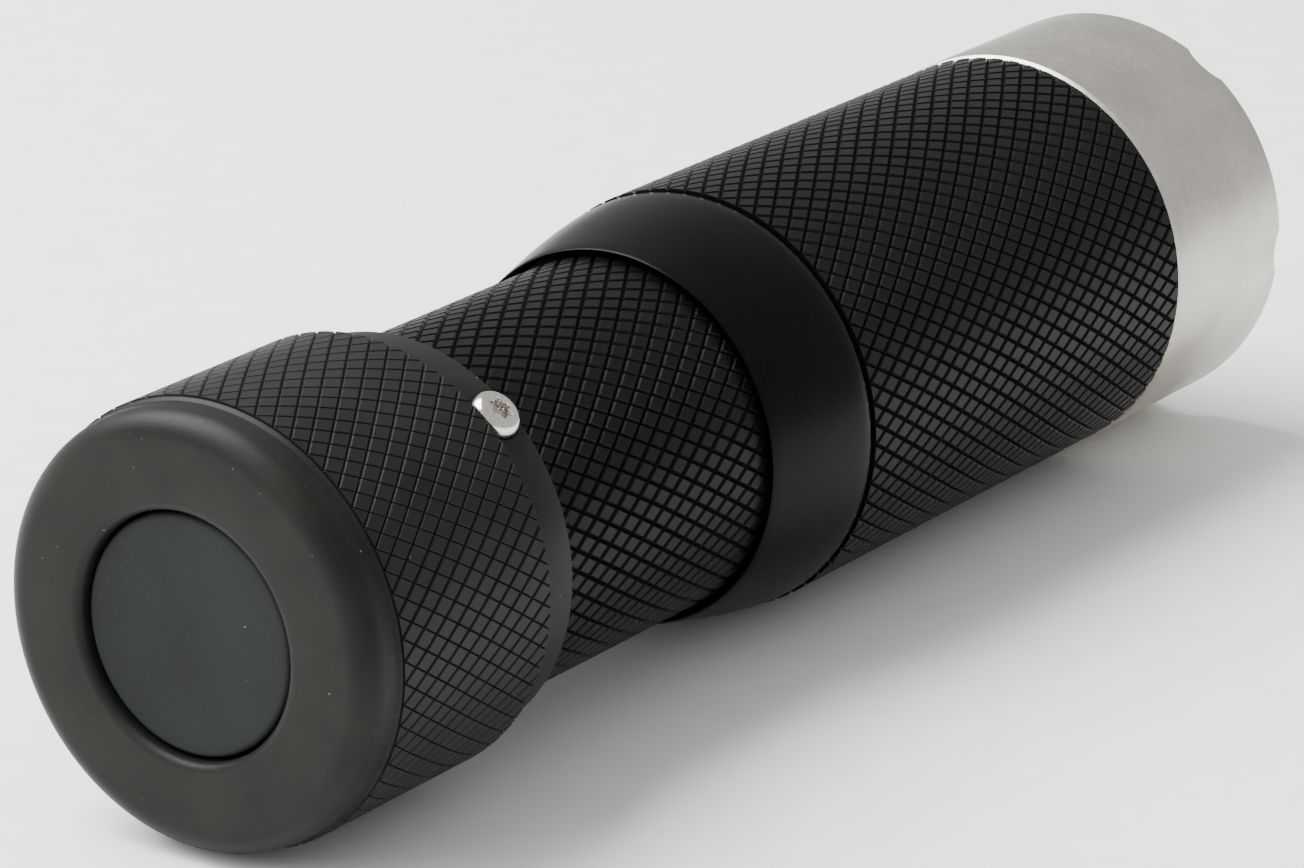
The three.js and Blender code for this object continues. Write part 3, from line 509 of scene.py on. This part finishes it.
# Tail button: a puck with a shallow dish, a rounded edge, and the flange and boss behind it.
button = revolve(
    "button_puck",
    [(0.3, 0.86), (2.0, 0.82), (4.0, 0.7), (5.4, 0.6), (6.1, 0.56)]
    + arc(6.36, 0.85, 0.3, -90, 0, 5)
    + [(6.66, 2.9), (BUTTON_FLANGE, 2.9), (BUTTON_FLANGE, 3.9), (2.4, 3.9), (2.4, 4.5)],
    capped=True,
)
soften(button, 0.05)
settle(button, BUTTON_RUBBER, "button", "button_rubber", "tail_button")

# Switch return spring: one wire of three turns.
bpy.ops.object.select_all(action="DESELECT")
bpy.ops.mesh.primitive_circle_add(
    vertices=10,
    radius=SPRING_WIRE * MM,
    location=(SPRING_RADIUS * MM, 0, 0),
    rotation=(math.pi / 2, 0, 0),
)
spring = named("return_spring")
bpy.ops.object.transform_apply(location=True, rotation=True, scale=True)
winding = spring.modifiers.new("winding", "SCREW")
winding.angle = 2 * math.pi
winding.screw_offset = SPRING_PITCH * MM
winding.iterations = 3
winding.steps = 24
bpy.ops.object.modifier_apply(modifier=winding.name)
bpy.ops.object.mode_set(mode="EDIT")
bpy.ops.mesh.select_all(action="SELECT")
bpy.ops.mesh.fill_holes(sides=0)
bpy.ops.mesh.normals_make_consistent(inside=False)
bpy.ops.object.mode_set(mode="OBJECT")
along_beam = Matrix.Rotation(-math.pi / 2, 4, "X")
spring.data.transform(ON_AXIS @ Matrix.Translation((0, SPRING_START * MM, 0)) @ along_beam)
bpy.ops.object.shade_smooth_by_angle(angle=math.radians(50))
settle(spring, POLISHED, "tube", "bright_steel", "switch_return_spring")
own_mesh(spring)

# Battery tube: knurled grip, a tail inside the knob, and a threaded nose inside the head.
THREAD = [
    corner
    for i in range(5)
    for corner in (
        (TUBE_NOSE, 42.62 + i),
        (9.68, 42.95 + i),
        (9.68, 43.25 + i),
        (TUBE_NOSE, 43.58 + i),
    )
]
tube = revolve(
    "tube_body",
    [
        (TUBE_BORE, 7.6),
        (TUBE_TAIL, 7.6),
        (TUBE_TAIL, 11.94),
        (9.12, 11.94),
        (9.12, 13.01),
        (TUBE_TAIL, 13.01),
        (TUBE_TAIL, 16.4),
        (9.4, 16.4),
        (9.4, 18.3),
        (TUBE_TAIL, 18.3),
        (TUBE_TAIL, 19.3),
        (TUBE_LAND, 19.3),
        (TUBE_LAND, 19.5),
        (TUBE_CORE, 19.5),
        (TUBE_CORE, 40.3),
        (TUBE_LAND, 40.3),
        (TUBE_LAND, 40.5),
        (TUBE_NOSE, 40.5),
        (TUBE_NOSE, 41.16),
        (9.08, 41.16),
        (9.08, 42.24),
        (TUBE_NOSE, 42.24),
        *THREAD,
        (TUBE_NOSE, 47.7),
        (9.65, 48.0),
        (TUBE_BORE, 48.0),
    ],
)
soften(tube, 0.05)
settle(tube, TURNED_COAT, "tube", "black_anodise", "battery_tube")
tube_grip = knurl("tube_knurl", TUBE_CREST, 10.2, 19.52, 40.28, 55, 2.05, 0.2, (0.76, 0.8))
settle(tube_grip, BODY_COAT, "tube", "black_anodise", "battery_tube")

head_seal = revolve("nose_seal", arc(9.62, 41.7, 0.45, 0, 337.5, 15))
soften(head_seal, 0.01, 60)
settle(head_seal, SEAL, "tube", "seal_rubber", "head_o_ring")

# Head: a plain rounded shoulder with a deep mouth over the tube, a knurled grip, and the bezel's seat.
SHOULDER = [
    (11.12 + (HEAD_COLLAR - 11.12) * (1.25 * share - 0.25 * share**3), 38.86 + 7.4 * share)
    for share in np.linspace(0.02, 1, 12)
]
head = revolve(
    "head_body",
    [(HEAD_MOUTH, 40.8), (HEAD_MOUTH, 38.98), (11.0, 38.88), (11.08, 38.84)]
    + SHOULDER
    + [
        (HEAD_COLLAR, 46.85),
        (12.3, 46.95),
        (12.3, 47.15),
        (HEAD_CORE, 47.15),
        (HEAD_CORE, 81.85),
        (HEAD_SPIGOT, 81.85),
        (HEAD_SPIGOT, 89.5),
        (HEAD_BORE, 89.5),
        (HEAD_BORE, 55.7),
        (4.1, 55.7),
        (4.1, 54.1),
        (9.0, 54.1),
        (9.0, 48.3),
        (THREAD_BORE, 48.3),
        (THREAD_BORE, 40.8),
    ],
)
soften(head, 0.05)
settle(head, TURNED_COAT, "head", "black_anodise", "head_shell")
head_grip = knurl("head_knurl", HEAD_CREST, 12.18, 47.2, 81.8, 65, 2.08, 0.2, (0.78, 0.8))
settle(head_grip, BODY_COAT, "head", "black_anodise", "head_shell")

# Bezel: a plain steel ring with shallow scallops in its front edge.
bezel = revolve(
    "bezel_ring",
    [
        (BEZEL_BORE, 82.0),
        (BEZEL_RADIUS - 0.2, 82.0),
        (BEZEL_RADIUS, 82.2),
        (BEZEL_RADIUS, BEZEL_FRONT - 0.45),
        (BEZEL_RADIUS - 0.45, BEZEL_FRONT),
        (10.3, BEZEL_FRONT),
        (BEZEL_OPENING, 94.5),
        (BEZEL_OPENING, 92.8),
        (BEZEL_BORE, 92.8),
    ],
)
for step in range(SCALLOPS):
    scallop_place = radial(SCALLOP_ANGLE + step * 2 * math.pi / SCALLOPS, BEZEL_FRONT + 1.2)
    carve(bezel, revolve("scallop", [(2.2, 5.0), (2.2, 14.0)], scallop_place, SMALL_SIDES, True))
soften(bezel, 0.08)
settle(bezel, STAINLESS, "head", "stainless", "bezel")

# Optics: window, reflector bowl and emitter.
window = revolve(
    "window_disc",
    [(11.1, 89.6), (WINDOW_RADIUS, 89.8), (WINDOW_RADIUS, 91.6), (11.1, 91.8)],
    capped=True,
)
soften(window, 0.03)
settle(window, GLASS, "head", "window_glass", "window")

STATIONS = [73.62 + 14.88 * (i / 24) ** 2 for i in range(25)]
BOWL = [
    (math.sqrt(BOWL_NECK**2 + (BOWL_MOUTH**2 - BOWL_NECK**2) * (y - 73.6) / 14.9), y) for y in STATIONS
]
reflector = revolve(
    "reflector_bowl",
    BOWL
    + [(BOWL_FLANGE, 88.5), (BOWL_FLANGE, 87.5), (BOWL_MOUTH, 87.5)]
    + [(r + BOWL_WALL, y) for r, y in reversed(BOWL) if y < 86.5],
)
soften(reflector, 0.02, 40)
settle(reflector, MIRROR, "head", "mirror", "reflector")

DOME = arc(0, 73.3, 1.42, 0, 86, 12)
dome = revolve("emitter_dome", DOME, sides=SMALL_SIDES, capped=True)
soften(dome, 0.01, 60)
settle(dome, PHOSPHOR, "head", "led_silicone", "led_dome")

ring = revolve(
    "centring_collar",
    [(2.6, 72.52), (3.35, 72.52), (3.35, 73.3), (3.15, 73.48), (2.6, 73.48)],
)
soften(ring, 0.03)
settle(ring, PLASTIC, "head", "black_plastic", "centring_ring")

bpy.ops.object.select_all(action="DESELECT")
bpy.ops.mesh.primitive_cube_add(size=1)
emitter = named("emitter_base")
emitter.data.transform(Matrix.Diagonal((3.4 * MM, 0.68 * MM, 3.4 * MM, 1)))
emitter.data.transform(ON_AXIS @ Matrix.Translation((0, 72.85 * MM, 0)))
soften(emitter, 0.08)
settle(emitter, CERAMIC, "head", "white_ceramic", "led_housing")

# Stage: a plain pale floor, a broad soft light overhead and a weaker one from the tail side.
bpy.ops.object.select_all(action="DESELECT")
bpy.ops.mesh.primitive_plane_add(size=6)
floor = bpy.context.object
floor.name = "floor"
floor.data.materials.append(FLOOR)


def softbox(name, place, aim, size, power):
    """A square soft light at a place, facing a point."""
    lamp = bpy.data.lights.new(name, "AREA")
    lamp.size = size
    lamp.energy = power
    holder = bpy.data.objects.new(name, lamp)
    bpy.context.collection.objects.link(holder)
    holder.location = place
    holder.rotation_euler = (Vector(aim) - Vector(place)).to_track_quat("-Z", "Y").to_euler()


softbox("overhead", (-0.3, -0.12, 0.46), (0, 0, 0), 0.45, 10.0)
softbox("tail_side", (-0.2, -0.55, 0.35), (0, -0.03, AXIS), 0.35, 1.5)

world = bpy.data.worlds.new("soft_room")
world.use_nodes = True
world.node_tree.nodes["Background"].inputs["Color"].default_value = hexed("#fbfbfa")
world.node_tree.nodes["Background"].inputs["Strength"].default_value = 0.82
bpy.context.scene.world = world

# Camera at the photo's place and angle.
lens = bpy.data.cameras.new("camera")
lens.sensor_width = 36
lens.lens = 161.6
lens.clip_start = 0.01
camera = bpy.data.objects.new("camera", lens)
bpy.context.collection.objects.link(camera)
forward = Vector((-0.53601, 0.77913, -0.32503)).normalized()
across = Vector((0.82387, 0.56678, 0)).normalized()
upward = across.cross(forward)
camera.matrix_world = Matrix.Translation((0.18056, TAIL - 0.219467, AXIS + 0.108558)) @ Matrix(
    (across, upward, -forward)
).transposed().to_4x4()
bpy.context.scene.camera = camera
